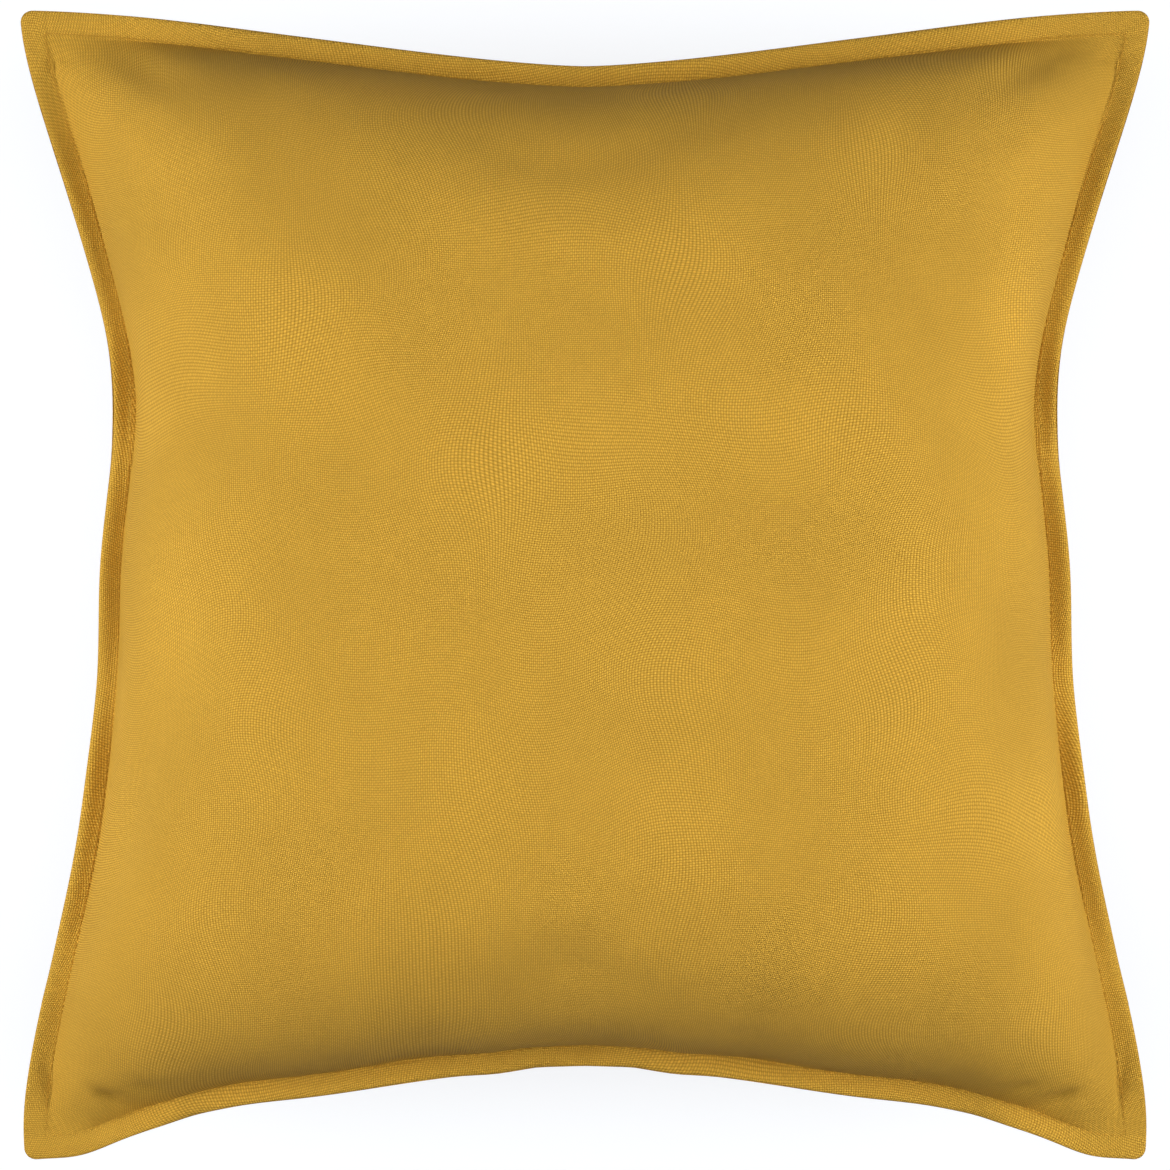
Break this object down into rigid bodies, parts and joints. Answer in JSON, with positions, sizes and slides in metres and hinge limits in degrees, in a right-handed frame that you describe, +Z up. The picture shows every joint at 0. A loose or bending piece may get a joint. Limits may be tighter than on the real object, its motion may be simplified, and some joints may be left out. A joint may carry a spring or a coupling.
{
  "type": "throw pillow",
  "caption": "Square throw pillow: a flanged yellow canvas cover with edges bowed in between its corners and a coil zip in its back, over a stuffed pad.",
  "frame": {"origin": "middle of the pillow in plan, at the height of the flat patch that its back panel rests on", "axes": "+Z up out of the front panel, +Y from the zipped edge towards the top edge, +X to the right seen from the front"},
  "size_m": [0.4392, 0.4466, 0.1564],
  "materials": {
    "cover_canvas": "matte",
    "sewing_thread": "satin",
    "zip_tape": "matte",
    "zip_coil": "satin",
    "zip_metal": "satin",
    "label_satin": "satin",
    "pad_casing": "matte",
    "pad_thread": "satin",
    "pad_fibre": "matte"
  },
  "bodies": {
    "cushion": {"front_panel": "cover_canvas", "back_upper_panel": "cover_canvas", "back_lower_panel": "cover_canvas", "perimeter_seam_thread": "sewing_thread", "flange_topstitch_thread": "sewing_thread", "flange_bobbin_thread": "sewing_thread", "zip_stitch_upper": "sewing_thread", "zip_stitch_lower": "sewing_thread", "bar_tack_left": "sewing_thread", "bar_tack_right": "sewing_thread", "zip_tape_upper": "zip_tape", "zip_tape_lower": "zip_tape", "zip_coil_upper": "zip_coil", "zip_coil_lower": "zip_coil", "zip_top_stop_upper": "zip_metal", "zip_top_stop_lower": "zip_metal", "zip_bottom_stop": "zip_metal", "care_label": "label_satin", "insert_label": "label_satin", "insert_front_casing": "pad_casing", "insert_back_casing": "pad_casing", "insert_seam_thread": "pad_thread", "insert_closing_stitch": "pad_thread", "fibre_filling": "pad_fibre"},
    "zip_slider": {"zip_slider_body": "zip_metal"},
    "zip_pull": {"zip_pull_tab": "zip_metal"}
  },
  "joints": [
    {"name": "zip_slider_travel", "type": "hinge", "parent": "cushion", "child": "zip_slider", "pos_m": [0, -0.43481, 0.38393], "axis": [0, 0.7732, 0.6342], "range_deg": [0, 39.44]},
    {"name": "zip_pull_swing", "type": "hinge", "parent": "zip_slider", "child": "zip_pull", "pos_m": [0.15994, -0.15307, 0.03789], "axis": [-0.3092, -0.8565, 0.4133], "range_deg": [-68.3, 101.6]}
  ]
}
